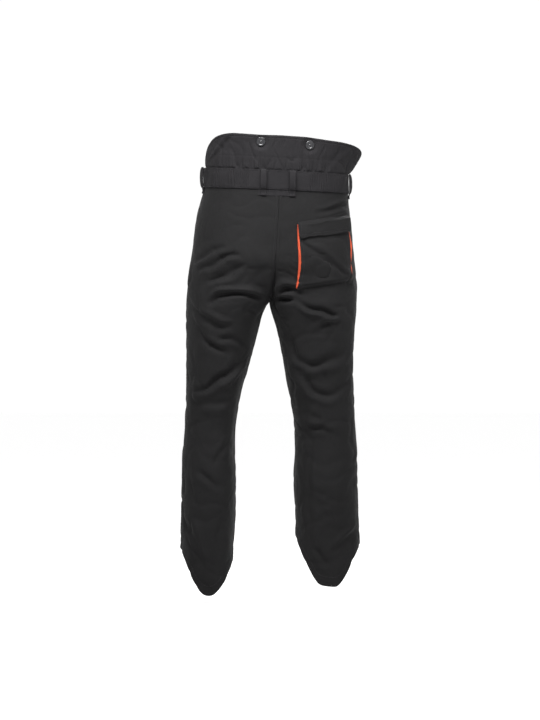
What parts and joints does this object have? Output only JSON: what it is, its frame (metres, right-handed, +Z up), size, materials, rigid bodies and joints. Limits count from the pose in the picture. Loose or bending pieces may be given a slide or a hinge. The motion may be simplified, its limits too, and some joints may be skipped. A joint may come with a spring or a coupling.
{
  "type": "chainsaw protective trousers",
  "caption": "Black forestry trousers with cut-stopping leg pads, a high kidney panel, elastic waistband, brace buttons, belt loops, zip fly and a bellows back pocket with an orange gusset.",
  "frame": {"origin": "centre of the waist opening, level with the top edge of the waistband", "axes": "+Z up, front of the garment faces -Y, +X is the wearer's left"},
  "size_m": [0.4297, 0.2837, 1.1098],
  "materials": {
    "shell_cloth": "plain woven polyester and cotton, charcoal black",
    "band_cloth": "plain woven, charcoal black",
    "lining_cloth": "smooth dark polyester lining",
    "pad_fibre": "loose knitted cut-stopping fibres, off-white",
    "elastic": "ribbed woven elastic",
    "foam": "soft foam",
    "gusset_cloth": "bright orange woven nylon",
    "touch_tape": "hook and loop tape",
    "button_metal": "black lacquered, glossy",
    "snap_metal": "gunmetal, satin",
    "zip_metal": "aged brass",
    "zip_tape": "woven zip tape"
  },
  "bodies": {
    "trousers": {"back_panel_left": "shell_cloth", "back_panel_right": "shell_cloth", "front_panel_left": "shell_cloth", "front_panel_right": "shell_cloth", "back_lining_left": "lining_cloth", "back_lining_right": "lining_cloth", "front_lining_left": "lining_cloth", "front_lining_right": "lining_cloth", "saw_pad_left": "pad_fibre", "saw_pad_right": "pad_fibre", "hem_facing_left": "lining_cloth", "hem_facing_right": "lining_cloth", "waistband_outer": "band_cloth", "waistband_facing": "lining_cloth", "waist_elastic_left": "elastic", "waist_elastic_right": "elastic", "kidney_outer": "band_cloth", "kidney_foam": "foam", "kidney_lining": "lining_cloth", "belt_loops_back": "band_cloth", "belt_loops_side": "band_cloth", "belt_loops_front": "band_cloth", "loop_base_strip": "band_cloth", "brace_button_tacks": "button_metal", "fly_shield": "shell_cloth", "zip_tape_left": "zip_tape", "zip_tape_right": "zip_tape", "zip_teeth_left": "zip_metal", "zip_teeth_right": "zip_metal", "zip_top_stops": "zip_metal", "zip_bottom_stop": "zip_metal", "waist_snap_stud": "snap_metal", "waist_snap_back_plate": "snap_metal", "back_pocket_front": "shell_cloth", "back_pocket_gusset": "gusset_cloth", "pocket_loop_tape": "touch_tape"},
    "fly_overlap": {"fly_cover": "shell_cloth", "waist_tab": "band_cloth", "waist_snap_cap": "snap_metal", "waist_snap_socket": "snap_metal"},
    "zip_slider_body": {"zip_slider": "zip_metal"},
    "zip_pull": {"zip_pull_tab": "zip_metal"},
    "pocket_flap": {"back_pocket_flap": "shell_cloth", "flap_hook_tape": "touch_tape"},
    "button_back_left": {"brace_button_back_left": "button_metal"},
    "button_back_right": {"brace_button_back_right": "button_metal"},
    "button_front_left_outer": {"brace_button_front_left_outer": "button_metal"},
    "button_front_left_inner": {"brace_button_front_left_inner": "button_metal"},
    "button_front_right_inner": {"brace_button_front_right_inner": "button_metal"},
    "button_front_right_outer": {"brace_button_front_right_outer": "button_metal"}
  },
  "joints": [
    {"name": "fly_overlap_open", "type": "hinge", "parent": "trousers", "child": "fly_overlap", "pos_m": [0.0385, -0.1165, 0], "axis": [0, 0.0797, 0.9968], "range_deg": [0, 60]},
    {"name": "fly_zip_slide", "type": "slide", "parent": "trousers", "child": "zip_slider_body", "axis": [0, -0.0797, -0.9968], "range_m": [0, 0.126]},
    {"name": "zip_pull_swing", "type": "hinge", "parent": "zip_slider_body", "child": "zip_pull", "pos_m": [0, -0.12127, -0.05335], "axis": [-1, 0, 0], "range_deg": [0, 14]},
    {"name": "pocket_flap_lift", "type": "hinge", "parent": "trousers", "child": "pocket_flap", "pos_m": [-0.11567, 0.10977, -0.113], "axis": [0.8245, 0.5522, -0.1235], "range_deg": [0, 130]},
    {"name": "button_back_left_turn", "type": "hinge", "parent": "trousers", "child": "button_back_left", "pos_m": [0.03816, 0.12305, 0.068], "axis": [0.1112, 0.9843, -0.1368], "continuous": true},
    {"name": "button_back_right_turn", "type": "hinge", "parent": "trousers", "child": "button_back_right", "pos_m": [-0.07644, 0.11796, 0.06], "axis": [-0.2194, 0.9662, -0.1353], "continuous": true},
    {"name": "button_front_left_outer_turn", "type": "hinge", "parent": "trousers", "child": "button_front_left_outer", "pos_m": [0.098, -0.10301, -0.01258], "axis": [0.3471, -0.9357, 0.0634], "continuous": true},
    {"name": "button_front_left_inner_turn", "type": "hinge", "parent": "trousers", "child": "button_front_left_inner", "pos_m": [0.054, -0.11394, -0.01447], "axis": [0.1411, -0.9871, 0.0762], "continuous": true},
    {"name": "button_front_right_inner_turn", "type": "hinge", "parent": "trousers", "child": "button_front_right_inner", "pos_m": [-0.054, -0.11363, -0.01557], "axis": [-0.1582, -0.9845, 0.0759], "continuous": true},
    {"name": "button_front_right_outer_turn", "type": "hinge", "parent": "trousers", "child": "button_front_right_outer", "pos_m": [-0.098, -0.10172, -0.01754], "axis": [-0.3795, -0.9231, 0.0619], "continuous": true}
  ]
}
